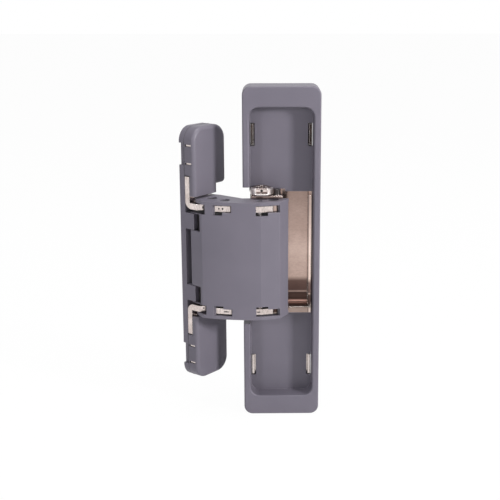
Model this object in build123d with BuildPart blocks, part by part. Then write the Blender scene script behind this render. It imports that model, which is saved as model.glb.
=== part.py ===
from build123d import *
import math
import os

os.makedirs("parts", exist_ok=True)

# The hinge is drawn as it hangs on a wall: +Z up, +Y into the wall, all sizes in millimetres.
# The origin is the middle of the wide leaf's mounting face.

# Wide leaf, from the wall outwards
wide_width = 31.7
wide_height = 140.0
wide_corner = 3.6
base_thickness = 1.8
slide_gap = 0.3
plate_thickness = 1.8
floor_thickness = 1.2
pocket_depth = 6.6
rim_side = 2.75
rim_end = 8.4
pocket_corner = 4.0
pocket_draft = 3.0
edge_round = 0.7
shell_wall = 2.2
arm_half = 24.65
side_opening = 2 * (arm_half + 4.55)
floor_opening = 2 * (arm_half + 1.65)
clip_height = wide_height / 2 - 20.2
clip_slot_length = 9.5
clip_slot_width = 2.1
clip_steel = 0.9
screw_pitch_x = 13.0
screw_pitch_z = wide_height - 64.0
mount_hole = 2.2
mount_sink = 3.3

base_front = -base_thickness
plate_back = base_front - slide_gap
plate_front = plate_back - plate_thickness
floor_back = plate_front - slide_gap
floor_front = floor_back - floor_thickness
rim_y = floor_front - pocket_depth
pocket_width = wide_width - 2 * rim_side
pocket_height = wide_height - 2 * rim_end
base_width = pocket_width - 0.6
base_height = wide_height - 2 * shell_wall - 0.6
pocket_half = pocket_width / 2

# Swinging arm between the leaves
wide_pin_x = -3.5
wide_pin_ahead = 2.0
pin_spacing = 24.9
pin_rise = 3.65
arm_thickness = 9.0
arm_back_step = 2.6
arm_skin = 1.2
end_wall = 1.25
core_half = arm_half - 4.75
pin_radius = 1.95
link_pin_radius = 1.5
run_clearance = 0.05
fit_clearance = 0.02
pin_recess = 0.9
ear_low = arm_half - 4.3
ear_thickness = 2.5
eye_radius = 3.3
arm_round = 0.6

wide_pin = (wide_pin_x, rim_y - wide_pin_ahead)
narrow_pin = (wide_pin_x - pin_spacing, wide_pin[1] + pin_rise)
narrow_link_pin = (narrow_pin[0] + 5.3, narrow_pin[1] - 4.1)
wide_link_pin = (wide_pin_x - 5.7, wide_pin[1] - 2.3)
arm_back = wide_pin[1] + arm_back_step
arm_front = arm_back - arm_thickness
cavity_half = arm_half - end_wall
ear_high = ear_low + ear_thickness

# Narrow leaf, drawn about its pivot pin: u runs along the leaf, v into the wall
leaf_turn = 51.0
narrow_height = 107.4
narrow_width = 19.6
narrow_base = 2.7
narrow_cover = 5.2
pin_ahead = 3.25
pin_from_edge = 7.0
narrow_corner = 6.0
cover_wall = 1.4
cover_start = arm_half + 0.95
waist_half = arm_half + 4.45
waist_width = 14.3
cover_round = 1.5
tab_low = core_half - 7.9
tab_high = core_half - 1.2
tab_thickness = 2.0
close_turn = 24.0
open_turn = 34.0
pry_low = narrow_height / 2 - 15.5
pry_high = narrow_height / 2 - 6.5
pry_depth = 1.2
hook_low = narrow_height / 2 - 14.8
hook_high = narrow_height / 2 - 7.4
hook_slit = 0.9
foot_end = arm_half + 8.95
foot_gap = 0.3
neck_width = 3.4
arm_steel = 2.4
foot_lip = 0.6
foot_screw_z = arm_half + 4.75
leaf_hole_z = narrow_height / 2 - 10.2
leaf_hole = 2.1
leaf_sink = 3.8

edge_u = -pin_from_edge
far_u = edge_u + narrow_width
waist_u = edge_u + waist_width
front_v = pin_ahead
seat_v = front_v + narrow_cover
back_v = seat_v + narrow_base
foot_v = seat_v - arm_steel
middle_u = (edge_u + far_u) / 2

# Height adjuster above the arm
wheel_radius = 4.7
wheel_height = 3.0
wheel_at = (wide_pin_x - 4.6, rim_y + 1.3)
wheel_notches = 3
wheel_notch_width = 5.0
wheel_notch_depth = 1.5
wheel_flange = 0.7
wheel_hole_radius = 0.6
wheel_hole_depth = 0.8
lug_thickness = 1.05
lug_low = arm_half + 0.3
lug_high = lug_low + lug_thickness
stud_radius = 1.6
set_screw_radius = 1.3
set_screw_at = (wide_pin_x + 1.7, rim_y + 2.0)
clamp_screw_x = wide_pin_x - 0.5
clamp_screw_z = 8.5
clamp_radius = 1.9
clamp_head = 3.2
adjust_travel = 1.0


def finish(part, name):
    """Labels a finished piece and writes it to its own file."""
    part.label = name
    export_step(part, f"parts/{name}.step")


def leaf_plane(height):
    """The level plane at a height whose axes are the narrow leaf's own u and v."""
    turn = math.radians(leaf_turn)
    return Plane(
        origin=(*narrow_pin, height),
        x_dir=(math.cos(turn), math.sin(turn), 0),
        z_dir=(0, 0, 1),
    )


def leaf_face(v):
    """The upright plane at a depth v, with x along u and y up, facing out of the wall."""
    level = leaf_plane(0)
    origin = level.from_local_coords((0, v, 0))
    return Plane(origin=origin, x_dir=level.x_dir, z_dir=-level.y_dir)


def leaf_side(u):
    """The upright plane at a place u along the leaf, with x into the wall and y up."""
    level = leaf_plane(0)
    origin = level.from_local_coords((u, 0, 0))
    return Plane(origin=origin, x_dir=level.y_dir, z_dir=level.x_dir)


def polar(centre, radius, degrees):
    turn = math.radians(degrees)
    return (
        centre[0] + radius * math.cos(turn),
        centre[1] + radius * math.sin(turn),
    )


def rectangle_between(low, high):
    """A rectangle from its low corner to its high corner, in the current sketch."""
    with Locations(((low[0] + high[0]) / 2, (low[1] + high[1]) / 2)):
        Rectangle(high[0] - low[0], high[1] - low[1])


# Wide leaf


def make_wide_cover():
    rim = Plane.XZ.offset(-rim_y)
    depth = -rim_y
    with BuildPart() as cover:
        with BuildSketch(Plane.XZ):
            RectangleRounded(wide_width, wide_height, wide_corner)
        extrude(amount=depth)
        with BuildSketch(rim):
            RectangleRounded(pocket_width, pocket_height, pocket_corner)
        extrude(amount=-pocket_depth, taper=pocket_draft, mode=Mode.SUBTRACT)
        rim_edges = cover.faces().sort_by(Axis.Y)[0].edges()
        fillet(rim_edges, edge_round)
        with BuildSketch(Plane.XZ):
            RectangleRounded(base_width + 0.4, pocket_height, pocket_corner)
        extrude(amount=-floor_back, mode=Mode.SUBTRACT)
        end_length = rim_end - shell_wall
        with BuildSketch(Plane.XZ):
            RectangleRounded(base_width + 0.4, base_height + 0.4, 1.6)
        extrude(amount=base_thickness + 0.4, mode=Mode.SUBTRACT)
        with BuildSketch(Plane.XZ):
            for side in (1, -1):
                with Locations((0, side * (wide_height / 2 - shell_wall - end_length / 2 + 1))):
                    RectangleRounded(base_width - 2, end_length - 2, 1.2)
        extrude(amount=depth - shell_wall, mode=Mode.SUBTRACT)
        # The arm's doorway: the left wall is gone, and the floor opens onto the bracket
        with BuildSketch(Plane.XZ):
            rectangle_between(
                (-wide_width / 2 - 1, -side_opening / 2),
                (-pocket_half + 0.01, side_opening / 2),
            )
        extrude(amount=depth + 1, mode=Mode.SUBTRACT)
        with BuildSketch(Plane.XZ):
            rectangle_between(
                (-pocket_half - 1, -floor_opening / 2),
                (pocket_half - 0.35, floor_opening / 2),
            )
            rectangle_between(
                (-pocket_half - 1, 0),
                (set_screw_at[0] + 3.4, lug_high + adjust_travel + 0.4),
            )
        extrude(amount=depth + 1, mode=Mode.SUBTRACT)
        with BuildSketch(Plane.XZ):
            with GridLocations(2 * (pocket_half - clip_slot_width / 2 - 0.1), 2 * clip_height, 2, 2):
                Rectangle(clip_slot_width, clip_slot_length)
        extrude(amount=-floor_front + 0.2, mode=Mode.SUBTRACT)
    finish(cover.part, "wide_cover")


def make_wide_base():
    front = Plane.XZ.offset(base_thickness)
    with BuildPart() as base:
        with BuildSketch(Plane.XZ):
            RectangleRounded(base_width, base_height, 1.4)
        extrude(amount=base_thickness)
        with Locations(front):
            with GridLocations(screw_pitch_x, screw_pitch_z, 2, 2):
                CounterSinkHole(mount_hole, mount_sink)
        with Locations(front):
            with GridLocations(1, 2 * clamp_screw_z, 1, 2):
                with Locations((clamp_screw_x, 0)):
                    Hole(clamp_radius + fit_clearance)
    finish(base.part, "wide_base")


def make_wide_clip(name, side):
    """A spring strip on the base whose two upturned ends hold the cover by its floor slots."""
    reach = pocket_half - clip_slot_width / 2 - 0.1 + clip_steel / 2
    tip = -floor_front - 0.35
    with BuildPart() as clip:
        with BuildSketch(Plane.XY.offset(side * clip_height)):
            with BuildLine():
                Polyline(
                    (-reach, -tip),
                    (-reach, base_front),
                    (reach, base_front),
                    (reach, -tip),
                    (reach - clip_steel, -tip),
                    (reach - clip_steel, base_front - clip_steel),
                    (clip_steel - reach, base_front - clip_steel),
                    (clip_steel - reach, -tip),
                    close=True,
                )
            make_face()
        extrude(amount=clip_slot_length / 2 - 0.45, both=True)
        with BuildSketch(Plane.XZ.offset(-base_front)):
            with Locations((0, side * clip_height)):
                Rectangle(2 * reach + 1, clip_slot_length)
                Rectangle(2 * reach + 2, clip_slot_length * 0.55, mode=Mode.SUBTRACT)
                Rectangle(clip_steel, clip_slot_length, mode=Mode.SUBTRACT)
            with Locations((0, side * clip_height)):
                with GridLocations(2 * reach, 1, 2, 1):
                    Rectangle(4 * clip_steel, clip_slot_length, mode=Mode.SUBTRACT)
        extrude(amount=clip_steel + 0.1, mode=Mode.SUBTRACT)
    finish(clip.part, name)


def make_clamp_screws():
    head_low = -plate_front + 0.25
    with BuildPart() as screws:
        for side in (1, -1):
            with BuildSketch(Plane.XZ.offset(0.1)):
                with Locations((clamp_screw_x, side * clamp_screw_z)):
                    Circle(clamp_radius)
            extrude(amount=head_low)
            with BuildSketch(Plane.XZ.offset(head_low)):
                with Locations((clamp_screw_x, side * clamp_screw_z)):
                    Circle(clamp_head)
            extrude(amount=1.9)
        crowns = screws.edges().filter_by(GeomType.CIRCLE).group_by(Axis.Y)[0]
        chamfer(crowns, 0.6)
        with BuildSketch(Plane.XZ.offset(head_low + 1.9)):
            for side in (1, -1):
                with Locations((clamp_screw_x, side * clamp_screw_z)):
                    Rectangle(3.4, 0.9)
                    Rectangle(0.9, 3.4)
        extrude(amount=-1.1, mode=Mode.SUBTRACT)
    finish(screws.part, "clamp_screws")


# Steel bracket that slides behind the wide leaf's floor


def hook_ear_outline():
    """The ear's plan: an eye on the arm's pin and a hooked neck back to the plate."""
    elbow = (wide_pin_x - 6.7, wide_pin[1] + 4.2)
    half = 1.7
    with BuildSketch(mode=Mode.PRIVATE) as ear:
        with BuildLine():
            Polyline(
                polar(wide_pin, half, 238),
                polar(elbow, half, 238),
                (elbow[0] - half, elbow[1]),
                (elbow[0] - half, plate_front + 0.5),
                (elbow[0] + half, plate_front + 0.5),
                polar(elbow, half, 58),
                polar(wide_pin, half, 58),
                close=True,
            )
        make_face()
        with Locations(elbow):
            Circle(half)
        with Locations(wide_pin):
            Circle(eye_radius)
            Circle(pin_radius + run_clearance, mode=Mode.SUBTRACT)
    return ear.sketch


def make_wide_bracket():
    half_width = base_width / 2
    half_height = floor_opening / 2 + 1.6
    shelf_low = -arm_half - 0.15
    shelf_front = rim_y + 2.0
    shelf_bend = 5.0
    shelf_start = wide_pin_x + 5.9
    lip_end = half_width - 0.5
    lip_start = lip_end - 1.2
    with BuildPart() as bracket:
        with BuildSketch(Plane.XZ.offset(-plate_back)):
            Rectangle(2 * half_width, 2 * half_height)
        extrude(amount=plate_thickness)
        ear = hook_ear_outline()
        for low in (ear_low, -ear_high):
            with BuildSketch(Plane.XY.offset(low)):
                add(ear)
            extrude(amount=ear_thickness)
        # The shelf under the arm is the plate's foot, turned forward in one wide bend
        with BuildSketch(Plane.YZ.offset(shelf_start)):
            with BuildLine():
                Polyline(
                    (plate_front + 0.5, shelf_low),
                    (shelf_front, shelf_low),
                    (shelf_front, shelf_low + ear_thickness),
                    (plate_front - shelf_bend, shelf_low + ear_thickness),
                )
                RadiusArc(
                    (plate_front - shelf_bend, shelf_low + ear_thickness),
                    (plate_front, shelf_low + ear_thickness + shelf_bend),
                    -shelf_bend,
                )
                Polyline(
                    (plate_front, shelf_low + ear_thickness + shelf_bend),
                    (plate_front + 0.5, shelf_low + ear_thickness + shelf_bend),
                    (plate_front + 0.5, shelf_low),
                )
            make_face()
        extrude(amount=lip_end - shelf_start)
        with BuildSketch(Plane.XZ.offset(-plate_front)):
            rectangle_between((lip_start, shelf_low), (lip_end, floor_opening / 2 - adjust_travel - 0.3))
        extrude(amount=4.0)
        # The lug carries the height adjuster over the arm
        with BuildSketch(Plane.XY.offset(lug_low)):
            rectangle_between(
                (wheel_at[0] - wheel_radius + 0.4, wheel_at[1] - 2.6),
                (set_screw_at[0] + 2.2, plate_front + 0.5),
            )
        extrude(amount=lug_thickness)
        with Locations((*wheel_at, lug_high), (*set_screw_at, lug_high)):
            Hole(stud_radius + run_clearance, depth=lug_thickness)
        with BuildSketch(Plane.XZ.offset(-plate_back)):
            for side in (1, -1):
                with Locations((clamp_screw_x, side * clamp_screw_z)):
                    slot_length = 2 * (clamp_radius + adjust_travel + 0.5)
                    SlotOverall(slot_length, 2 * clamp_radius + 0.6, rotation=90)
        extrude(amount=plate_thickness, mode=Mode.SUBTRACT)
    finish(bracket.part, "wide_bracket")


def make_adjuster_wheel():
    low = lug_high + 0.3
    high = low + wheel_height
    with BuildPart() as wheel:
        with BuildSketch(Plane.XY.offset(low)):
            with Locations(wheel_at):
                Circle(wheel_radius)
        extrude(amount=wheel_height)
        chamfer(wheel.edges().filter_by(GeomType.CIRCLE).group_by(Axis.Z)[-1], 0.5)
        chamfer(wheel.edges().filter_by(GeomType.CIRCLE).group_by(Axis.Z)[0], 0.4)
        # Castle notches above the flange, one of them square to the front
        with BuildSketch(Plane.XY.offset(low + wheel_flange)):
            with Locations(wheel_at):
                with PolarLocations(wheel_radius, wheel_notches, start_angle=-90):
                    Rectangle(2 * wheel_notch_depth, wheel_notch_width)
        extrude(amount=wheel_height, mode=Mode.SUBTRACT)
        # A blind hole for the turning pin in each notch
        hub = (*wheel_at, (low + wheel_flange + high) / 2)
        for number in range(wheel_notches):
            outward = Vector(0, -1, 0).rotate(Axis.Z, number * 360 / wheel_notches)
            with BuildSketch(Plane(origin=hub, z_dir=outward).offset(wheel_radius - wheel_notch_depth)):
                Circle(wheel_hole_radius)
            extrude(amount=-wheel_hole_depth, mode=Mode.SUBTRACT)
        with BuildSketch(Plane.XY.offset(high)):
            with Locations(wheel_at):
                Rectangle(4.6, 1.1)
                Rectangle(1.1, 4.6)
                Circle(1.1)
        extrude(amount=-1.5, mode=Mode.SUBTRACT)
        with BuildSketch(Plane.XY.offset(lug_low)):
            with Locations(wheel_at):
                Circle(stud_radius)
        extrude(amount=low - lug_low)
    finish(wheel.part, "adjuster_wheel")


def make_set_screw():
    with BuildPart() as screw:
        with BuildSketch(Plane.XY.offset(lug_low)):
            with Locations(set_screw_at):
                Circle(stud_radius + run_clearance - fit_clearance)
        extrude(amount=lug_thickness)
        with BuildSketch(Plane.XY.offset(lug_high)):
            with Locations(set_screw_at):
                Circle(set_screw_radius)
        extrude(amount=2.3)
        chamfer(screw.edges().group_by(Axis.Z)[-1], 0.3)
        with BuildSketch(Plane.XY.offset(lug_high + 2.3)):
            with Locations(set_screw_at):
                RegularPolygon(0.75, 6)
        extrude(amount=-1.2, mode=Mode.SUBTRACT)
    finish(screw.part, "set_screw")


# Arm


def arm_outline(inset):
    """The arm's plan: a faceted front, a slanted nose and a horn that reaches into the narrow leaf."""
    shoulder = (narrow_pin[0] - 4.1, narrow_pin[1] - 6.5)
    crest = (wide_pin_x - 5.0, arm_front)
    heel = (wide_pin_x + 2.7, arm_front + 2.0)
    crown = ((shoulder[0] + crest[0]) / 2, (shoulder[1] + crest[1]) / 2 - 1.1)
    nose = (wide_pin_x + 6.4, arm_back - 0.9)
    with BuildSketch(mode=Mode.PRIVATE) as outline:
        with BuildLine():
            ThreePointArc(shoulder, crown, crest)
            Polyline(
                crest,
                heel,
                nose,
                (nose[0], arm_back),
                (wide_pin_x - 12.6, arm_back),
                (narrow_pin[0] + 3.2, narrow_pin[1] + 6.2),
                (narrow_pin[0] - 0.5, narrow_pin[1] + 8.0),
                (narrow_pin[0] - 9.0, narrow_pin[1] - 1.2),
                shoulder,
            )
        make_face()
        fillet(outline.vertices(), arm_round)
        if inset:
            offset(amount=-inset, kind=Kind.INTERSECTION)
    return outline.sketch


def swept_sector(radius, start, end):
    """What lies outside a radius round the narrow pin, between two directions."""
    reach = 13.0
    middle = (start + end) / 2
    with BuildSketch(mode=Mode.PRIVATE) as sector:
        with BuildLine():
            Polyline(
                narrow_pin,
                polar(narrow_pin, reach, start),
                polar(narrow_pin, reach * 1.5, middle),
                polar(narrow_pin, reach, end),
                close=True,
            )
        make_face()
        with Locations(narrow_pin):
            Circle(radius, mode=Mode.SUBTRACT)
    return sector.sketch


def cut_both_ends(sketch, low, high):
    """Cuts a plan out of the piece being built, between two heights and their mirror images."""
    for start in (low, -high):
        with BuildSketch(Plane.XY.offset(start)) as band:
            add(sketch)
        extrude(band.sketch, amount=high - low, mode=Mode.SUBTRACT)


def drill_arm(radius_extra, narrow_extra):
    """The four pin holes right through the piece being built."""
    main = pin_radius + radius_extra
    link = link_pin_radius + narrow_extra
    for place, radius in (
        (wide_pin, main),
        (narrow_pin, main),
        (wide_link_pin, link),
        (narrow_link_pin, link),
    ):
        with BuildSketch(Plane.XY.offset(-arm_half - 1)) as hole:
            with Locations(place):
                Circle(radius)
        extrude(hole.sketch, amount=2 * arm_half + 2, mode=Mode.SUBTRACT)


def tab_notch():
    return swept_sector(5.95, leaf_turn + 124 - open_turn, leaf_turn + 154 + close_turn)


def make_arm_core():
    with BuildPart() as core:
        with BuildSketch(Plane.XY.offset(-core_half)):
            add(arm_outline(arm_skin + 0.1))
        extrude(amount=2 * core_half)
        cut_both_ends(tab_notch(), tab_low - 0.3, tab_high + 0.3)
        drill_arm(fit_clearance, fit_clearance)
        # Shallow steps behind the cover's windows
        with BuildSketch(mode=Mode.PRIVATE) as steps:
            rectangle_between((narrow_pin[0] - 9, arm_front), (narrow_pin[0] - 2.7, narrow_pin[1] - 3))
            rectangle_between((narrow_pin[0] + 0.5, arm_front), (narrow_pin[0] + 4.4, arm_front + 3.2))
            rectangle_between((wide_pin_x - 7.0, arm_front), (wide_pin_x - 2.1, arm_front + 3.2))
        cut_both_ends(steps.sketch, core_half - 0.9, core_half)
    finish(core.part, "arm_core")


def make_arm_cover():
    shell_cut = 2 * cavity_half
    with BuildPart() as cover:
        with BuildSketch(Plane.XY.offset(-arm_half)):
            add(arm_outline(0))
        extrude(amount=2 * arm_half)
        with BuildSketch(Plane.XY.offset(-cavity_half)):
            add(arm_outline(arm_skin))
        extrude(amount=shell_cut, mode=Mode.SUBTRACT)
        # The back is open from the nose round to the horn
        with BuildSketch(Plane.XY.offset(-cavity_half)):
            with BuildLine():
                Polyline(
                    (wide_pin_x + 9, arm_back - arm_skin),
                    (wide_pin_x - 12.2, arm_back - arm_skin),
                    (narrow_pin[0] + 2.2, narrow_pin[1] + 5.2),
                    (narrow_pin[0] - 2.7, narrow_pin[1] + 5.2),
                    (narrow_pin[0] - 2.7, narrow_pin[1] + 12),
                    (wide_pin_x + 9, narrow_pin[1] + 12),
                    close=True,
                )
            make_face()
        extrude(amount=shell_cut, mode=Mode.SUBTRACT)
        cut_both_ends(tab_notch(), tab_low - 0.3, tab_high + 0.3)
        sweep = swept_sector(6.85, leaf_turn + 108 - open_turn, leaf_turn + 158 + close_turn)
        cut_both_ends(sweep, core_half, arm_half + 1)
        drill_arm(run_clearance, run_clearance)
        with BuildSketch(mode=Mode.PRIVATE) as sinks:
            for place, radius in ((wide_pin, 2.35), (narrow_pin, 2.3), (narrow_link_pin, 2.2)):
                with Locations(place):
                    Circle(radius)
        cut_both_ends(sinks.sketch, arm_half - pin_recess + 0.1, arm_half + 0.1)
        window_high = ear_high + 0.45
        with BuildSketch(mode=Mode.PRIVATE) as tail_window:
            rectangle_between(
                (narrow_pin[0] - 10, arm_front - 1), (narrow_pin[0] - 2.7, narrow_pin[1] + 12)
            )
            rectangle_between(
                (narrow_pin[0] - 10, narrow_pin[1] + 3.6), (narrow_pin[0] + 2.6, narrow_pin[1] + 12)
            )
        cut_both_ends(tail_window.sketch, core_half - 0.7, window_high)
        windows = (
            (narrow_pin[0] + 0.5, narrow_pin[0] + 8.0, narrow_pin[0] + 4.4),
            (wide_pin_x - 7.0, wide_pin_x + 2.8, wide_pin_x - 2.1),
        )
        for left, right, step in windows:
            with BuildSketch(mode=Mode.PRIVATE) as window:
                rectangle_between((left, arm_front - 1), (right, arm_front + 3.2))
            cut_both_ends(window.sketch, ear_low - 0.05, window_high)
            with BuildSketch(mode=Mode.PRIVATE) as relief:
                rectangle_between((left, arm_front - 1), (step, arm_front + 3.2))
            cut_both_ends(relief.sketch, core_half - 0.8, ear_low)
    finish(cover.part, "arm_cover")


def make_pin(name, place, radius):
    with BuildPart() as pin:
        with BuildSketch(Plane.XY.offset(pin_recess - arm_half)):
            with Locations(place):
                Circle(radius)
        extrude(amount=2 * (arm_half - pin_recess))
    finish(pin.part, name)


def make_link_plates(name, place, radius, low, high, keep_clear):
    """Steel plates at both ends of the arm, each held by a link pin and seen in a window."""
    with BuildSketch(mode=Mode.PRIVATE) as plan:
        rectangle_between(low, high)
        fillet(plan.vertices(), 1.0)
        add(arm_outline(arm_skin + 0.15), mode=Mode.INTERSECT)
        with Locations(place):
            Circle(radius + run_clearance, mode=Mode.SUBTRACT)
        with Locations(keep_clear):
            Circle(eye_radius + 0.4, mode=Mode.SUBTRACT)
    with BuildPart() as plates:
        for start in (ear_low, -ear_high):
            with BuildSketch(Plane.XY.offset(start)):
                add(plan.sketch)
            extrude(amount=ear_thickness)
    finish(plates.part, name)


def make_washers(name, place):
    """A bearing washer between the arm's core and each ear, on the pin's own body."""
    inner = (core_half + 0.03, ear_low - 0.06)
    with BuildPart() as washers:
        for low, high in (inner, (-inner[1], -inner[0])):
            with BuildSketch(Plane.XY.offset(low)):
                with Locations(place):
                    Circle(eye_radius)
                    Circle(pin_radius + run_clearance, mode=Mode.SUBTRACT)
            extrude(amount=high - low)
    finish(washers.part, name)


# Narrow leaf


def make_narrow_base():
    top = narrow_height / 2
    with BuildPart() as base:
        with BuildSketch(leaf_face(back_v)) as outline:
            rectangle_between((edge_u, -top), (far_u, top))
            fillet(outline.vertices(), narrow_corner)
            with Locations((far_u, 0)):
                Rectangle(2 * (far_u - waist_u), 2 * waist_half, mode=Mode.SUBTRACT)
        extrude(amount=narrow_base)
        for side in (1, -1):
            low, high = sorted((side * tab_low, side * tab_high))
            with BuildSketch(leaf_face(seat_v)):
                rectangle_between((edge_u, low), (edge_u + tab_thickness, high))
            extrude(amount=narrow_cover - 0.5)
            low, high = sorted((side * pry_low, side * pry_high))
            with BuildSketch(leaf_face(back_v)):
                rectangle_between((edge_u - 1, low), (edge_u + pry_depth, high))
            extrude(amount=narrow_base, mode=Mode.SUBTRACT)
        with Locations(leaf_face(seat_v)):
            with Locations((middle_u, leaf_hole_z), (middle_u, -leaf_hole_z)):
                CounterSinkHole(leaf_hole, leaf_sink)
            with Locations((0.5, foot_screw_z), (0.5, -foot_screw_z)):
                Hole(1.5 + fit_clearance, depth=narrow_base - 0.6)
    finish(base.part, "narrow_base")


def make_narrow_cover(name, side):
    top = narrow_height / 2
    with BuildPart() as cover:
        with BuildSketch(leaf_face(seat_v)) as outline:
            with BuildLine():
                Polyline(
                    (edge_u, side * cover_start),
                    (edge_u, side * top),
                    (far_u, side * top),
                    (far_u, side * waist_half),
                    (waist_u, side * waist_half),
                    (waist_u, side * cover_start),
                    close=True,
                )
            make_face()
            corners = outline.vertices().filter_by(lambda v: abs(abs(v.Y) - top) < 0.01)
            fillet(corners, narrow_corner)
            lower = outline.vertices().filter_by(
                lambda v: abs(v.X - far_u) < 0.01 and abs(abs(v.Y) - waist_half) < 0.01
            )
            fillet(lower, 1.8)
        extrude(amount=narrow_cover)
        outward = Axis(leaf_plane(0).origin, -leaf_plane(0).y_dir)
        front = cover.faces().filter_by(leaf_face(front_v)).sort_by(outward)[-1]
        soft = front.edges().filter_by(lambda edge: abs(edge.center().Z) > cover_start + 0.1)
        fillet(soft, cover_round)
        with BuildSketch(leaf_face(seat_v)):
            with BuildLine():
                Polyline(
                    (edge_u + cover_wall, side * (cover_start - 1)),
                    (edge_u + cover_wall, side * (top - narrow_corner / 2)),
                    (edge_u + narrow_corner / 2, side * (top - cover_wall)),
                    (far_u - narrow_corner / 2, side * (top - cover_wall)),
                    (far_u - cover_wall, side * (top - narrow_corner / 2)),
                    (far_u - cover_wall, side * (waist_half + cover_wall)),
                    (waist_u - cover_wall, side * (waist_half + cover_wall)),
                    (waist_u - cover_wall, side * (cover_start - 1)),
                    close=True,
                )
            make_face()
        extrude(amount=narrow_cover - cover_wall, mode=Mode.SUBTRACT)
        # The steel foot shows through a slot in the side wall, and the clip through two slits
        low, high = sorted((side * (cover_start - 1), side * (foot_end + 0.5)))
        with BuildSketch(leaf_face(seat_v)):
            rectangle_between((edge_u - 1, low), (edge_u + cover_wall + 0.1, high))
        extrude(amount=arm_steel + 0.3, mode=Mode.SUBTRACT)
        with BuildSketch(leaf_face(seat_v - 0.5)):
            for height in (hook_low, hook_high):
                with Locations((edge_u, side * height)):
                    Rectangle(2 * cover_wall + 1, hook_slit)
        extrude(amount=3.3, mode=Mode.SUBTRACT)
    finish(cover.part, name)


def make_narrow_arm(name, side):
    """A bent steel strap: a foot on the leaf's base, and an ear with the pivot's eye."""
    level = ear_low if side > 0 else -ear_high
    bend = 3.2
    foot_low = arm_half + foot_gap
    neck_right = edge_u + 0.1 + neck_width
    eye_width = 2 * eye_radius
    with BuildPart() as strap:
        with BuildSketch(leaf_face(seat_v)):
            low, high = sorted((side * foot_low, side * foot_end))
            rectangle_between((edge_u + 0.1, low), (waist_u - cover_wall - 0.2, high))
        extrude(amount=arm_steel)
        with BuildSketch(leaf_face(seat_v)):
            low, high = sorted((side * foot_low, side * (foot_low + foot_lip)))
            rectangle_between((edge_u + cover_wall + 0.1, low), (waist_u - cover_wall - 0.2, high))
        extrude(amount=narrow_cover - cover_wall - 0.15)
        with BuildSketch(leaf_side(edge_u + 0.1)):
            with BuildLine():
                Polyline(
                    (foot_v, side * (foot_low + 0.5)),
                    (seat_v, side * (foot_low + 0.5)),
                    (seat_v, side * (ear_low + bend)),
                )
                middle = bend * (1 - math.sqrt(0.5))
                ThreePointArc(
                    (seat_v, side * (ear_low + bend)),
                    (seat_v - middle, side * (ear_low + middle)),
                    (seat_v - bend, side * ear_low),
                )
                Polyline(
                    (seat_v - bend, side * ear_low),
                    (2.0, side * ear_low),
                    (2.0, side * ear_high),
                    (foot_v, side * ear_high),
                    (foot_v, side * (foot_low + 0.5)),
                )
            make_face()
        extrude(amount=neck_width)
        with BuildSketch(leaf_plane(level)):
            with BuildLine():
                Polyline(
                    (edge_u + 0.1, 2.0),
                    (edge_u + 0.1, foot_v - 0.8),
                    (neck_right, foot_v - 0.8),
                    polar((0, 0), eye_radius, 62),
                    polar((0, 0), eye_radius, 242),
                    close=True,
                )
            make_face()
            Circle(eye_radius)
        extrude(amount=ear_thickness)
        with BuildSketch(leaf_plane(level)):
            Circle(pin_radius + run_clearance)
        extrude(amount=ear_thickness, mode=Mode.SUBTRACT)
        with Locations(leaf_face(foot_v)):
            with Locations((0.5, side * foot_screw_z)):
                Hole(1.55, depth=arm_steel)
    finish(strap.part, name)


def make_foot_screws():
    with BuildPart() as screws:
        for side in (1, -1):
            with BuildSketch(leaf_face(back_v - 0.7)):
                with Locations((0.5, side * foot_screw_z)):
                    Circle(1.5)
            extrude(amount=narrow_base - 0.7 + arm_steel)
            with BuildSketch(leaf_face(foot_v)):
                with Locations((0.5, side * foot_screw_z)):
                    Circle(2.5)
                    Rectangle(2.8, 0.7, mode=Mode.SUBTRACT)
                    Rectangle(0.7, 2.8, mode=Mode.SUBTRACT)
            extrude(amount=1.1)
    finish(screws.part, "foot_screws")


def make_narrow_clip(name, side):
    """A spring staple on the base whose two hooks stand in the cover's slits."""
    thickness = 0.6
    reach_u = edge_u + cover_wall + 3.0
    with BuildPart() as clip:
        with BuildSketch(leaf_face(seat_v)):
            low, high = sorted((side * (hook_low - thickness / 2), side * (hook_high + thickness / 2)))
            rectangle_between((edge_u + cover_wall + 0.3, low), (reach_u, high))
        extrude(amount=thickness)
        with BuildSketch(leaf_face(seat_v)):
            for height in (hook_low, hook_high):
                with Locations((edge_u + cover_wall + 0.3 + 1.35, side * height)):
                    Rectangle(2.7, thickness)
        extrude(amount=3.4)
        with BuildSketch(leaf_face(seat_v - 0.8)):
            for height in (hook_low, hook_high):
                with Locations((edge_u + 0.45 + 0.9, side * height)):
                    Rectangle(1.8, thickness)
        extrude(amount=2.6)
    finish(clip.part, name)


make_wide_cover()
make_wide_base()
make_wide_clip("wide_clip_upper", 1)
make_wide_clip("wide_clip_lower", -1)
make_clamp_screws()
make_wide_bracket()
make_adjuster_wheel()
make_set_screw()
make_arm_core()
make_arm_cover()
make_pin("wide_pivot_pin", wide_pin, pin_radius)
make_pin("narrow_pivot_pin", narrow_pin, pin_radius)
make_pin("wide_link_pin", wide_link_pin, link_pin_radius)
make_pin("narrow_link_pin", narrow_link_pin, link_pin_radius)
make_link_plates(
    "narrow_link_plates",
    narrow_link_pin,
    link_pin_radius,
    (narrow_pin[0] + 0.8, arm_front + 1.5),
    (narrow_pin[0] + 7.8, narrow_link_pin[1] + 2.6),
    narrow_pin,
)
make_link_plates(
    "wide_link_plates",
    wide_link_pin,
    link_pin_radius,
    (wide_pin_x - 8.6, arm_front + 1.4),
    (wide_pin_x + 2.4, wide_link_pin[1] + 1.9),
    wide_pin,
)
make_washers("wide_washers", wide_pin)
make_washers("narrow_washers", narrow_pin)
make_narrow_base()
make_narrow_cover("narrow_cover_upper", 1)
make_narrow_cover("narrow_cover_lower", -1)
make_narrow_arm("narrow_arm_upper", 1)
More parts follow.
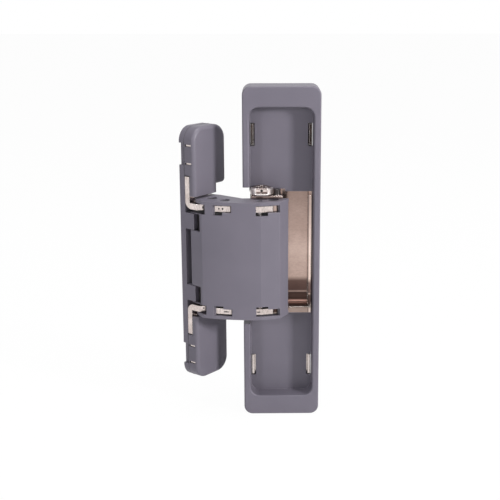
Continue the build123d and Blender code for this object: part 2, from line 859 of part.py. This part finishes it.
make_narrow_arm("narrow_arm_lower", -1)
make_foot_screws()
make_narrow_clip("narrow_clip_upper", 1)
make_narrow_clip("narrow_clip_lower", -1)
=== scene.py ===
import bpy
import math
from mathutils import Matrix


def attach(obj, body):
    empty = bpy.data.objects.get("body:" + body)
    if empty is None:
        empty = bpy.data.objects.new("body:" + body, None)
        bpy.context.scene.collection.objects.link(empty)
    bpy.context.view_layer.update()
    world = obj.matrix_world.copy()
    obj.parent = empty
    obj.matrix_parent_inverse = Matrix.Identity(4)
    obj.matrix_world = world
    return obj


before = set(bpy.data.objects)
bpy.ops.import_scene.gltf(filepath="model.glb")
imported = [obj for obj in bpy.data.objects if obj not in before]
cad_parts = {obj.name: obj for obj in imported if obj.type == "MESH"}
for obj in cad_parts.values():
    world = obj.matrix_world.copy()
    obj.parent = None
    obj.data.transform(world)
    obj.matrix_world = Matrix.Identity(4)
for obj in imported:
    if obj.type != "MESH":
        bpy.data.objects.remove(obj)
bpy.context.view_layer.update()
mm = 0.001
print("frame loaded")

# Camera, solved from the photograph's edges
photoView = {
    "lens": 73.58, "sensor": 36, "shift": -0.053, "near": 0.01,
    "at": (-0.0084, -0.4188, 0.1120), "tilt": 75, "turn": -0.89,
}
cameraData = bpy.data.cameras.new("photoCamera")
cameraData.lens = photoView["lens"]
cameraData.sensor_width = photoView["sensor"]
cameraData.shift_x = photoView["shift"]
cameraData.clip_start = photoView["near"]
camera = bpy.data.objects.new("photoCamera", cameraData)
bpy.context.collection.objects.link(camera)
camera.location = photoView["at"]
camera.rotation_euler = (math.radians(photoView["tilt"]), 0, math.radians(photoView["turn"]))
scene = bpy.context.scene
scene.camera = camera
scene.view_settings.view_transform = "Standard"

# Lights: a small hard key from the right, a weaker one from the left and two broad fills
lights = {
    "keyLight": {
        "at": (0.60, -0.42, 0.22), "size": 0.12, "power": 6.2, "colour": (1.0, 0.99, 0.98),
    },
    "leftLight": {
        "at": (-0.50, -0.60, 0.22), "size": 0.14, "power": 1.9, "colour": (0.97, 0.97, 1.0),
    },
    "frontFill": {
        "at": (0.02, -0.80, 0.30), "size": 0.50, "power": 0.2, "colour": (1.0, 1.0, 1.0),
    },
    "topFill": {
        "at": (0.05, -0.10, 0.75), "size": 0.40, "power": 5.3, "colour": (1.0, 1.0, 1.0),
    },
}
for name, facts in lights.items():
    data = bpy.data.lights.new(name, "AREA")
    data.size = facts["size"]
    data.energy = facts["power"]
    data.color = facts["colour"]
    lamp = bpy.data.objects.new(name, data)
    bpy.context.collection.objects.link(lamp)
    lamp.location = facts["at"]
    lamp.rotation_euler = lamp.location.to_track_quat("Z", "Y").to_euler()  # aimed at the hinge


def seenDirectly(nodeTree):
    # 1 for rays from the camera, off a gloss or through glass, 0 for the rest
    path = nodeTree.nodes.new("ShaderNodeLightPath")
    direct = nodeTree.nodes.new("ShaderNodeMath")
    direct.operation = "ADD"
    nodeTree.links.new(path.outputs["Is Camera Ray"], direct.inputs[0])
    nodeTree.links.new(path.outputs["Is Glossy Ray"], direct.inputs[1])
    through = nodeTree.nodes.new("ShaderNodeMath")
    through.operation = "ADD"
    through.use_clamp = True
    nodeTree.links.new(direct.outputs[0], through.inputs[0])
    nodeTree.links.new(path.outputs["Is Transmission Ray"], through.inputs[1])
    return through.outputs[0]


# Room: a weak even light, and a white backdrop where it is seen
studio = {"colour": (0.96, 0.96, 1.0, 1), "strength": 0.11, "backdrop": (1, 1, 1, 1)}
world = bpy.data.worlds.new("studio")
scene.world = world
world.use_nodes = True
tree = world.node_tree
tree.nodes.clear()
output = tree.nodes.new("ShaderNodeOutputWorld")
mixer = tree.nodes.new("ShaderNodeMixShader")
room = tree.nodes.new("ShaderNodeBackground")
room.inputs["Color"].default_value = studio["colour"]
room.inputs["Strength"].default_value = studio["strength"]
paper = tree.nodes.new("ShaderNodeBackground")
paper.inputs["Color"].default_value = studio["backdrop"]
tree.links.new(seenDirectly(tree), mixer.inputs[0])
tree.links.new(room.outputs[0], mixer.inputs[1])
tree.links.new(paper.outputs[0], mixer.inputs[2])
tree.links.new(mixer.outputs[0], output.inputs[0])
print("camera and lights ready")


# Materials
def startMaterial(name):
    material = bpy.data.materials.new(name)
    material.use_nodes = True
    nodes = material.node_tree.nodes
    nodes.clear()
    shader = nodes.new("ShaderNodeBsdfPrincipled")
    end = nodes.new("ShaderNodeOutputMaterial")
    material.node_tree.links.new(shader.outputs[0], end.inputs[0])
    return material, shader


def addNoise(material, scale, stretch, detail):
    nodes = material.node_tree.nodes
    links = material.node_tree.links
    place = nodes.new("ShaderNodeTexCoord")
    mapping = nodes.new("ShaderNodeMapping")
    mapping.inputs["Scale"].default_value = stretch
    noise = nodes.new("ShaderNodeTexNoise")
    noise.inputs["Scale"].default_value = scale
    noise.inputs["Detail"].default_value = detail
    links.new(place.outputs["Object"], mapping.inputs[0])
    links.new(mapping.outputs[0], noise.inputs["Vector"])
    return noise.outputs["Fac"]


def addRamp(material, source, low, high, start, end):
    ramp = material.node_tree.nodes.new("ShaderNodeValToRGB")
    ramp.color_ramp.elements[0].position = start
    ramp.color_ramp.elements[1].position = end
    ramp.color_ramp.elements[0].color = low
    ramp.color_ramp.elements[1].color = high
    material.node_tree.links.new(source, ramp.inputs[0])
    return ramp.outputs["Color"]


bevelSamples = 4


def addBump(material, shader, source, depth, strength, rounding):
    nodes = material.node_tree.nodes
    links = material.node_tree.links
    bump = nodes.new("ShaderNodeBump")
    bump.inputs["Distance"].default_value = depth
    bump.inputs["Strength"].default_value = strength
    links.new(source, bump.inputs["Height"])
    edge = nodes.new("ShaderNodeBevel")
    edge.samples = bevelSamples
    edge.inputs["Radius"].default_value = rounding
    links.new(edge.outputs[0], bump.inputs["Normal"])
    links.new(bump.outputs[0], shader.inputs["Normal"])


def startBlend(material):
    blend = material.node_tree.nodes.new("ShaderNodeMix")
    blend.data_type = "RGBA"  # its colours are inputs 6 and 7, its colour output is 2
    return blend


# edge rub, partly wear and partly a painted highlight along the edges
wearAndHighlight = {"radius": 0.35, "flat": 0.985, "worn": 0.80, "rub": 0.55}  # flat and worn are cosines


def addWearAndHighlight(material, tint, worn, rub):
    # a lighter rub along the edges, where the rounded normal leaves the flat one: partly wear,
    # partly a painted highlight
    nodes = material.node_tree.nodes
    links = material.node_tree.links
    rounded = nodes.new("ShaderNodeBevel")
    rounded.samples = bevelSamples
    rounded.inputs["Radius"].default_value = wearAndHighlight["radius"] * mm
    flat = nodes.new("ShaderNodeNewGeometry")
    match = nodes.new("ShaderNodeVectorMath")
    match.operation = "DOT_PRODUCT"
    links.new(rounded.outputs[0], match.inputs[0])
    links.new(flat.outputs["True Normal"], match.inputs[1])
    edge = nodes.new("ShaderNodeMapRange")
    edge.inputs["From Min"].default_value = wearAndHighlight["flat"]
    edge.inputs["From Max"].default_value = wearAndHighlight["worn"]
    edge.inputs["To Min"].default_value = 0.0
    edge.inputs["To Max"].default_value = rub
    links.new(match.outputs["Value"], edge.inputs["Value"])
    blend = startBlend(material)
    links.new(edge.outputs[0], blend.inputs["Factor"])
    links.new(tint, blend.inputs[6])
    blend.inputs[7].default_value = worn
    return blend.outputs[2]


def multiplyTint(material, first, second):
    blend = startBlend(material)
    blend.blend_type = "MULTIPLY"
    blend.inputs["Factor"].default_value = 1.0
    material.node_tree.links.new(first, blend.inputs[6])
    material.node_tree.links.new(second, blend.inputs[7])
    return blend.outputs[2]


def addPaintedLightAndShade(material, paintedLightAndShade, axis):
    # painted light and shade by place along one axis in millimetres, lowest first
    nodes = material.node_tree.nodes
    links = material.node_tree.links
    place = nodes.new("ShaderNodeTexCoord")
    split = nodes.new("ShaderNodeSeparateXYZ")
    along = nodes.new("ShaderNodeMapRange")
    along.inputs["From Min"].default_value = paintedLightAndShade[0][0] * mm
    along.inputs["From Max"].default_value = paintedLightAndShade[-1][0] * mm
    links.new(place.outputs["Object"], split.inputs[0])
    links.new(split.outputs[axis], along.inputs["Value"])
    ramp = nodes.new("ShaderNodeValToRGB")
    span = paintedLightAndShade[-1][0] - paintedLightAndShade[0][0]
    stops = ramp.color_ramp.elements
    stops[0].color = (*paintedLightAndShade[0][1], 1)
    stops[-1].color = (*paintedLightAndShade[-1][1], 1)
    for level, colour in paintedLightAndShade[1:-1]:
        stops.new((level - paintedLightAndShade[0][0]) / span).color = (*colour, 1)
    links.new(along.outputs[0], ramp.inputs[0])
    return ramp.outputs["Color"]


def addPaintedHubShade(material, tint, hub):
    # the turned hub inside the wheel's notches gets painted shade: dark bands at the notches' top
    # and bottom
    nodes = material.node_tree.nodes
    links = material.node_tree.links
    place = nodes.new("ShaderNodeTexCoord")
    centre = nodes.new("ShaderNodeVectorMath")
    centre.operation = "SUBTRACT"
    centre.inputs[1].default_value = (hub["at"][0] * mm, hub["at"][1] * mm, 0)
    level = nodes.new("ShaderNodeVectorMath")
    level.operation = "MULTIPLY"
    level.inputs[1].default_value = (1, 1, 0)
    reach = nodes.new("ShaderNodeVectorMath")
    reach.operation = "LENGTH"
    rim = nodes.new("ShaderNodeMapRange")
    rim.inputs["From Min"].default_value = hub["rim"][0] * mm
    rim.inputs["From Max"].default_value = hub["rim"][1] * mm
    links.new(place.outputs["Object"], centre.inputs[0])
    links.new(centre.outputs["Vector"], level.inputs[0])
    links.new(level.outputs["Vector"], reach.inputs[0])
    links.new(reach.outputs["Value"], rim.inputs["Value"])
    inside = multiplyTint(material, tint, addPaintedLightAndShade(material, hub["paintedLightAndShade"], "Z"))
    blend = startBlend(material)
    links.new(rim.outputs[0], blend.inputs["Factor"])
    links.new(inside, blend.inputs[6])
    links.new(tint, blend.inputs[7])
    return blend.outputs[2]


def grey(value):
    return (value, value, value, 1)


finishDetail = {
    "broad": 3.0, "fine": 4.0, "patch": (0.32, 0.68), "pits": (0.36, 0.58),
    "rough": (0.3, 0.7), "coatRough": 0.3,
}


def makeFinish(name, facts):
    material, shader = startMaterial(name)
    links = material.node_tree.links
    shader.inputs["Metallic"].default_value = facts["metallic"]
    broad = addNoise(material, facts["patch"], (1, 1, 1), finishDetail["broad"])
    tint = addRamp(material, broad, facts["dark"], facts["light"], *finishDetail["patch"])
    fine = addNoise(material, facts["grain"], facts["stretch"], finishDetail["fine"])
    if "speckle" in facts:
        pitted = grey(1.0 - facts["speckle"])
        pits = addRamp(material, fine, pitted, grey(1.0), *finishDetail["pits"])
        tint = multiplyTint(material, tint, pits)
    if "paintedLightAndShade" in facts:
        tint = multiplyTint(material, tint, addPaintedLightAndShade(material, facts["paintedLightAndShade"], "Z"))
    if "paintedSideLightAndShade" in facts:
        tint = multiplyTint(material, tint, addPaintedLightAndShade(material, facts["paintedSideLightAndShade"], "X"))
    if "hub" in facts:
        tint = addPaintedHubShade(material, tint, facts["hub"])
    if "wearAndHighlight" in facts:
        tint = addWearAndHighlight(material, tint, facts["wearAndHighlight"], facts.get("rub", wearAndHighlight["rub"]))
    links.new(tint, shader.inputs["Base Color"])
    low, high = facts["rough"]
    rough = addRamp(material, fine, grey(low), grey(high), *finishDetail["rough"])
    links.new(rough, shader.inputs["Roughness"])
    addBump(material, shader, fine, facts["depth"], facts["strength"], facts["rounding"])
    if "gloss" in facts:
        shader.inputs["Specular IOR Level"].default_value = facts["gloss"]
    if "coat" in facts:
        shader.inputs["Coat Weight"].default_value = facts["coat"]
        shader.inputs["Coat Roughness"].default_value = finishDetail["coatRough"]
    return material


# Depth and rounding are metres, patch and grain are noise scales, and the places in the
# painted light and shade ramps (along z, along x and over the wheel hub) are millimetres
finishes = {
    "housingPaint": {
        "metallic": 0.0, "patch": 45,
        "dark": (0.112, 0.103, 0.129, 1), "light": (0.126, 0.115, 0.143, 1),
        "grain": 1500, "stretch": (1, 1, 1), "rough": (0.40, 0.52),
        "depth": 0.00003, "strength": 0.22,
        "rounding": 0.00022, "coat": 0.04, "gloss": 0.28, "wearAndHighlight": (0.25, 0.225, 0.26, 1),
    },
    "bracketNickel": {
        "metallic": 1.0, "patch": 130,
        "dark": (0.50, 0.385, 0.345, 1), "light": (0.60, 0.475, 0.43, 1),
        "grain": 900, "stretch": (1, 1, 3), "rough": (0.12, 0.24),
        "depth": 0.00002, "strength": 0.12,
        "rounding": 0.00022, "speckle": 0.10, "wearAndHighlight": (0.92, 0.86, 0.83, 1),
        # painted reflection and shade along the height: dark bands low down, a bright line at the
        # fold, brightest in the middle
        "paintedLightAndShade": [
            (-26.0, (0.62, 0.60, 0.58)), (-22.9, (0.62, 0.60, 0.58)), (-22.1, (0.075, 0.055, 0.05)),
            (-17.7, (0.10, 0.075, 0.07)), (-17.4, (0.55, 0.50, 0.48)), (-17.1, (0.55, 0.50, 0.48)),
            (-16.8, (0.16, 0.12, 0.115)), (-12.6, (0.22, 0.17, 0.16)), (-10.6, (0.90, 0.84, 0.80)),
            (0.0, (1.0, 0.95, 0.91)), (12.0, (0.80, 0.74, 0.71)), (26.0, (0.56, 0.51, 0.49)),
        ],
        # painted highlight and shade across the plate: brighter on the left part, then a dark line
        # and a bright line on the right flange
        "paintedSideLightAndShade": [
            (-13.0, (1.45, 1.55, 1.58)), (1.5, (1.45, 1.55, 1.58)), (2.4, (1.0, 1.0, 1.0)),
            (10.9, (1.0, 1.0, 1.0)), (11.05, (0.55, 0.50, 0.48)),
            (11.3, (0.80, 0.80, 0.80)), (11.6, (1.75, 1.90, 1.95)), (12.8, (1.75, 1.90, 1.95)),
        ],
    },
    # stripNickel and wheelNickel are lighter copies of the bracket's nickel, a painted highlight
    # for the brighter light these parts catch
    "stripNickel": {
        "metallic": 1.0, "patch": 210,
        "dark": (0.62, 0.53, 0.50, 1), "light": (0.80, 0.71, 0.68, 1),
        "grain": 620, "stretch": (3, 3, 1), "rough": (0.10, 0.24),
        "depth": 0.00003, "strength": 0.16,
        "rounding": 0.00028, "speckle": 0.22, "wearAndHighlight": (0.96, 0.92, 0.90, 1),
    },
    "springSteel": {
        "metallic": 1.0, "patch": 200,
        "dark": (0.66, 0.58, 0.55, 1), "light": (0.80, 0.72, 0.69, 1),
        "grain": 420, "stretch": (1, 8, 8), "rough": (0.22, 0.36),
        "depth": 0.00002, "strength": 0.10,
        "rounding": 0.00012,
    },
    "wheelNickel": {
        "metallic": 1.0, "patch": 260,
        "dark": (0.64, 0.57, 0.55, 1), "light": (0.86, 0.80, 0.78, 1),
        "grain": 700, "stretch": (2, 2, 1), "rough": (0.32, 0.44),
        "depth": 0.00002, "strength": 0.12,
        "rounding": 0.00022, "speckle": 0.12, "wearAndHighlight": (0.98, 0.96, 0.95, 1), "rub": 0.35,
        "hub": {
            "at": (-8.1, -10.7), "rim": (3.75, 4.1),
            "paintedLightAndShade": [
                (26.3, (0.95, 0.95, 0.95)), (26.95, (0.95, 0.95, 0.95)),
                (27.05, (0.10, 0.07, 0.06)), (27.65, (0.16, 0.11, 0.10)),
                (27.85, (0.85, 0.80, 0.78)), (28.75, (0.90, 0.85, 0.83)),
                (28.95, (0.20, 0.14, 0.13)), (29.3, (0.34, 0.28, 0.27)),
            ],
        },
    },
    # the upper clip's spring steel darkened as painted shade, its edges lit by the painted
    # highlight rub
    "springSteelPaintedShade": {
        "metallic": 1.0, "patch": 240,
        "dark": (0.012, 0.007, 0.006, 1), "light": (0.055, 0.033, 0.028, 1),
        "grain": 420, "stretch": (1, 8, 8), "rough": (0.34, 0.50),
        "depth": 0.00002, "strength": 0.12,
        "rounding": 0.00012, "wearAndHighlight": (0.90, 0.84, 0.82, 1), "rub": 1.0,
    },
    # near-black casting for the arm core and the parting lines; on the arm core it is also painted
    # shade that keeps the windows dark, and on the pin heads and marks it is painted shade of holes
    # and dimples
    "darkCastingAndShade": {
        "metallic": 0.0, "patch": 160,
        "dark": (0.012, 0.011, 0.013, 1), "light": (0.030, 0.028, 0.031, 1),
        "grain": 1100, "stretch": (1, 1, 1), "rough": (0.46, 0.66),
        "depth": 0.00006, "strength": 0.35,
        "rounding": 0.00018,
    },
    "zincPlate": {
        "metallic": 1.0, "patch": 70,
        "dark": (0.44, 0.43, 0.44, 1), "light": (0.56, 0.55, 0.55, 1),
        "grain": 320, "stretch": (8, 8, 1), "rough": (0.30, 0.46),
        "depth": 0.00003, "strength": 0.16,
        "rounding": 0.0002,
    },
    "pinSteel": {
        "metallic": 1.0, "patch": 400,
        "dark": (0.30, 0.27, 0.27, 1), "light": (0.42, 0.39, 0.38, 1),
        "grain": 700, "stretch": (1, 1, 9), "rough": (0.22, 0.38),
        "depth": 0.00001, "strength": 0.12,
        "rounding": 0.0001,
    },
    "blackScrew": {
        "metallic": 1.0, "patch": 500,
        "dark": (0.070, 0.064, 0.066, 1), "light": (0.120, 0.110, 0.110, 1),
        "grain": 900, "stretch": (1, 1, 1), "rough": (0.30, 0.48),
        "depth": 0.00001, "strength": 0.18,
        "rounding": 0.0001,
    },
}
made = {name: makeFinish(name, facts) for name, facts in finishes.items()}

dressed = {
    "wide_cover": "housingPaint",
    "arm_cover": "housingPaint",
    "narrow_base": "housingPaint",
    "narrow_cover_upper": "housingPaint",
    "narrow_cover_lower": "housingPaint",
    "wide_bracket": "bracketNickel",
    "adjuster_wheel": "wheelNickel",
    "narrow_arm_upper": "stripNickel",
    "narrow_arm_lower": "stripNickel",
    "narrow_link_plates": "stripNickel",
    "wide_link_plates": "stripNickel",
    "wide_clip_upper": "springSteelPaintedShade",
    "wide_clip_lower": "springSteel",
    "narrow_clip_upper": "springSteel",
    "narrow_clip_lower": "springSteel",
    "wide_base": "zincPlate",
    "arm_core": "darkCastingAndShade",
    "wide_pivot_pin": "pinSteel",
    "narrow_pivot_pin": "pinSteel",
    "wide_link_pin": "pinSteel",
    "narrow_link_pin": "pinSteel",
    "wide_washers": "pinSteel",
    "narrow_washers": "pinSteel",
    "clamp_screws": "blackScrew",
    "foot_screws": "blackScrew",
    "set_screw": "blackScrew",
}
for node, finish in dressed.items():
    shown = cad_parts[node]
    shown.data.materials.clear()
    shown.data.materials.append(made[finish])
print("materials ready")


# New pieces
smoothAngle = 35
facingLimit = 0.9  # how nearly a face's normal follows the axis to be picked


def keepPiece(name, body, finish):
    piece = bpy.context.object
    piece.name = name
    piece.data.name = name
    bpy.ops.object.transform_apply(location=True, rotation=True, scale=True)
    piece.data.materials.clear()
    piece.data.materials.append(made[finish])
    bpy.ops.object.shade_smooth_by_angle(angle=math.radians(smoothAngle))
    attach(piece, body)


def startPiece():
    bpy.ops.object.select_all(action="DESELECT")


def startPoint(place):
    startPiece()
    bpy.ops.mesh.primitive_plane_add(size=1)
    bpy.ops.object.mode_set(mode="EDIT")
    bpy.ops.mesh.select_mode(type="VERT")
    bpy.ops.mesh.select_all(action="SELECT")
    bpy.ops.mesh.merge(type="CENTER")
    bpy.ops.transform.translate(value=place)


def pickFacing(piece, side):
    bpy.ops.object.mode_set(mode="EDIT")
    bpy.ops.mesh.select_mode(type="FACE")
    bpy.ops.mesh.select_all(action="DESELECT")
    bpy.ops.object.mode_set(mode="OBJECT")
    for face in piece.data.polygons:
        face.select = face.normal.z * side > facingLimit
    bpy.ops.object.mode_set(mode="EDIT")


def joinPieces(pieces):
    startPiece()
    for piece in pieces:
        piece.select_set(True)
    bpy.context.view_layer.objects.active = pieces[0]
    if len(pieces) > 1:
        bpy.ops.object.join()


# Riveted pin ends, one pair to a pin, dished in the middle by the punch; they are near-black,
# painted shade for the holes around them
pinHeads = {
    "narrowPivotHeads": {"at": (-28.4, -10.35), "radius": 1.85},
    "widePivotHeads": {"at": (-3.5, -14.0), "radius": 1.85},
    "narrowLinkHeads": {"at": (-23.1, -14.45), "radius": 1.42},
    "wideLinkHeads": {"at": (-9.2, -16.3), "radius": 1.42},
}
headShape = {
    "level": 23.93, "height": 0.42, "sides": 48, "rim": 0.28, "rimRise": 0.14,
    "crown": 0.30, "crownRise": 0.04, "punch": 0.14, "punchDrop": 0.18,
    "dish": 0.30, "dishDrop": 0.05,
}
for name, facts in pinHeads.items():
    across, out = facts["at"]
    steps = (
        (headShape["rim"], headShape["rimRise"]),
        (headShape["crown"] * facts["radius"], headShape["crownRise"]),
        (headShape["punch"], -headShape["punchDrop"]),
        (headShape["dish"], -headShape["dishDrop"]),
    )
    ends = []
    for side in (1, -1):
        startPiece()
        bpy.ops.mesh.primitive_cylinder_add(
            vertices=headShape["sides"], radius=facts["radius"] * mm,
            depth=headShape["height"] * mm,
            location=(across * mm, out * mm, side * headShape["level"] * mm),
        )
        pickFacing(bpy.context.object, side)
        for inward, rise in steps:
            bpy.ops.mesh.inset(thickness=inward * mm)
            bpy.ops.transform.translate(value=(0, 0, side * rise * mm))
        bpy.ops.object.mode_set(mode="OBJECT")
        ends.append(bpy.context.object)
    joinPieces(ends)
    keepPiece(name, "arm", "darkCastingAndShade")
print("pin heads ready")

# Punch marks and pin slots in the steel as near-black dished discs, painted shade of these
# recesses, each given by x, z, half width and half height
paintedMarkShades = {
    "narrowBarShades": {
        "on": "narrow_link_plates", "body": "arm",
        "marks": [
            (-25.35, 21.7, 0.34, 0.30), (-23.85, 21.7, 0.42, 0.38),
            (-22.85, -21.75, 1.15, 0.26),
        ],
    },
    "wideBarShades": {
        "on": "wide_link_plates", "body": "arm",
        "marks": [(-9.6, -21.6, 0.9, 0.22), (-10.6, 21.3, 0.30, 0.26)],
    },
    "wheelHoleShade": {
        "on": "adjuster_wheel", "body": "adjuster",
        "marks": [(-8.1, 28.15, 0.54, 0.54)],
    },
    "upperFootShades": {
        "on": "narrow_arm_upper", "body": "narrow_leaf",
        "marks": [(-31.9, 21.5, 0.30, 0.62)],
    },
    "lowerFootShades": {
        "on": "narrow_arm_lower", "body": "narrow_leaf",
        "marks": [(-32.4, -21.3, 0.34, 0.26), (-31.3, -21.9, 0.22, 0.22)],
    },
}
markShape = {
    "sides": 24, "radius": 1.0, "height": 0.2, "rim": 0.18, "dish": 0.12, "drop": 0.06,
    "flatten": 0.5, "sink": 0.02, "inFront": 40,
}
for name, facts in paintedMarkShades.items():
    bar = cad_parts[facts["on"]]
    marks = []
    for across, high, halfWide, halfHigh in facts["marks"]:
        viewer = (across * mm, -markShape["inFront"] * mm, high * mm)
        hit, spot, facing = bar.ray_cast(viewer, (0, 1, 0))[:3]
        if not hit:
            print("no steel behind mark", name, across, high)
            continue
        startPiece()
        bpy.ops.mesh.primitive_cylinder_add(
            vertices=markShape["sides"], radius=markShape["radius"] * mm,
            depth=markShape["height"] * mm,
        )
        mark = bpy.context.object
        pickFacing(mark, 1)
        bpy.ops.mesh.inset(thickness=markShape["rim"] * mm)
        bpy.ops.mesh.inset(thickness=markShape["dish"] * mm)
        bpy.ops.transform.translate(value=(0, 0, -markShape["drop"] * mm))
        bpy.ops.object.mode_set(mode="OBJECT")
        mark.scale = (halfWide, halfHigh, markShape["flatten"])
        mark.rotation_mode = "QUATERNION"
        mark.rotation_quaternion = facing.to_track_quat("Z", "Y")
        mark.location = spot - facing * markShape["sink"] * mm
        marks.append(mark)
    if marks:
        joinPieces(marks)
        keepPiece(name, facts["body"], "darkCastingAndShade")
print("bar marks ready")

# The dark parting line between the narrow leaf's base and its covers
parting = {
    "pin": (-28.4, -10.35), "along": (0.62932, 0.77715), "out": (-0.77715, 0.62932),
    "edge": -7.0, "far": 12.6, "seat": 8.45, "top": 53.7, "corner": 6.0, "cornerSteps": 8,
    "waistEnd": 31.1, "footEnd": 33.8, "wire": 0.13, "sink": 0.05,
}


def leafSpot(across, high):
    x = parting["pin"][0] + across * parting["along"][0] + parting["seat"] * parting["out"][0]
    y = parting["pin"][1] + across * parting["along"][1] + parting["seat"] * parting["out"][1]
    return (x * mm, y * mm, high * mm)


def cornerSpots(across, high, radius, start):
    # a quarter turn of the leaf's outline, clockwise from the start angle
    spots = []
    for step in range(parting["cornerSteps"] + 1):
        angle = math.radians(start - 90 * step / parting["cornerSteps"])
        spots.append((across + radius * math.cos(angle), high + radius * math.sin(angle)))
    return spots


edge = parting["edge"] + parting["sink"]
far = parting["far"] - parting["sink"]
bend = parting["corner"] - parting["sink"]
centre = parting["top"] - parting["sink"] - bend
outline = [(edge, parting["footEnd"])]
outline += cornerSpots(edge + bend, centre, bend, 180)
outline += cornerSpots(far - bend, centre, bend, 90)
outline.append((far, parting["waistEnd"]))
for name, side in (("upperPartingLine", 1), ("lowerPartingLine", -1)):
    places = [leafSpot(across, side * high) for across, high in outline]
    startPoint(places[0])
    for before, after in zip(places, places[1:]):
        move = tuple(b - a for a, b in zip(before, after))
        bpy.ops.mesh.extrude_region_move(TRANSFORM_OT_translate={"value": move})
    bpy.ops.object.mode_set(mode="OBJECT")
    bpy.ops.object.convert(target="CURVE")
    line = bpy.context.object
    line.data.bevel_depth = parting["wire"] * mm
    line.data.bevel_resolution = 1
    line.data.use_fill_caps = True
    bpy.ops.object.convert(target="MESH")
    keepPiece(name, "narrow_leaf", "darkCastingAndShade")
print("parting lines ready")

# The thread on the black set screw beside the wheel
setThread = {
    "at": (-1.8, -10.0), "low": 26.05, "core": 1.24, "crest": 1.5, "pitch": 0.4, "turns": 5,
    "flank": 0.38, "steps": 40, "weld": 0.001, "seam": 0.0001,
}
startPoint((setThread["core"] * mm, 0, 0))
rise = (setThread["crest"] - setThread["core"]) * mm
flank = setThread["pitch"] * setThread["flank"] * mm
for move in ((rise, 0, flank), (-rise, 0, flank), (0, 0, -2 * flank)):
    bpy.ops.mesh.extrude_region_move(TRANSFORM_OT_translate={"value": move})
bpy.ops.mesh.select_all(action="SELECT")
bpy.ops.mesh.remove_doubles(threshold=setThread["weld"] * mm)
bpy.ops.object.mode_set(mode="OBJECT")
thread = bpy.context.object
turnIt = thread.modifiers.new("turnIt", "SCREW")
turnIt.steps = setThread["steps"]
turnIt.render_steps = setThread["steps"]
turnIt.screw_offset = setThread["pitch"] * mm
turnIt.iterations = setThread["turns"]
turnIt.use_merge_vertices = True
turnIt.merge_threshold = setThread["seam"] * mm
bpy.ops.object.modifier_apply(modifier="turnIt")
bpy.ops.object.mode_set(mode="EDIT")
bpy.ops.mesh.select_all(action="DESELECT")
bpy.ops.mesh.select_non_manifold()
bpy.ops.mesh.fill()
bpy.ops.mesh.select_all(action="SELECT")
bpy.ops.mesh.normals_make_consistent(inside=False)
bpy.ops.object.mode_set(mode="OBJECT")
thread.location = (setThread["at"][0] * mm, setThread["at"][1] * mm, setThread["low"] * mm)
keepPiece("setScrewThread", "bracket", "blackScrew")
print("set screw thread ready")

# Floor: pale paper, seen as near white and still carrying the shadow
studioPaper = {
    "size": 6, "level": -0.0701, "colour": (0.92, 0.92, 0.92, 1), "rough": 0.85,
    "glow": (1, 1, 1, 1), "glowShare": 0.975,
}
startPiece()
bpy.ops.mesh.primitive_plane_add(size=studioPaper["size"], location=(0, 0, studioPaper["level"]))
floor = bpy.context.object
floor.name = "studioFloor"
floorPaint, floorShader = startMaterial("floorPaper")
floorShader.inputs["Base Color"].default_value = studioPaper["colour"]
floorShader.inputs["Roughness"].default_value = studioPaper["rough"]
floorTree = floorPaint.node_tree
glow = floorTree.nodes.new("ShaderNodeEmission")
glow.inputs["Color"].default_value = studioPaper["glow"]
floorMix = floorTree.nodes.new("ShaderNodeMixShader")
share = floorTree.nodes.new("ShaderNodeMath")
share.operation = "MULTIPLY"
share.inputs[1].default_value = studioPaper["glowShare"]
floorTree.links.new(seenDirectly(floorTree), share.inputs[0])
floorTree.links.new(share.outputs[0], floorMix.inputs[0])
floorTree.links.new(floorShader.outputs[0], floorMix.inputs[1])
floorTree.links.new(glow.outputs[0], floorMix.inputs[2])
for node in floorTree.nodes:
    if node.type == "OUTPUT_MATERIAL":
        floorTree.links.new(floorMix.outputs[0], node.inputs[0])
floor.data.materials.append(floorPaint)
print("floor ready")
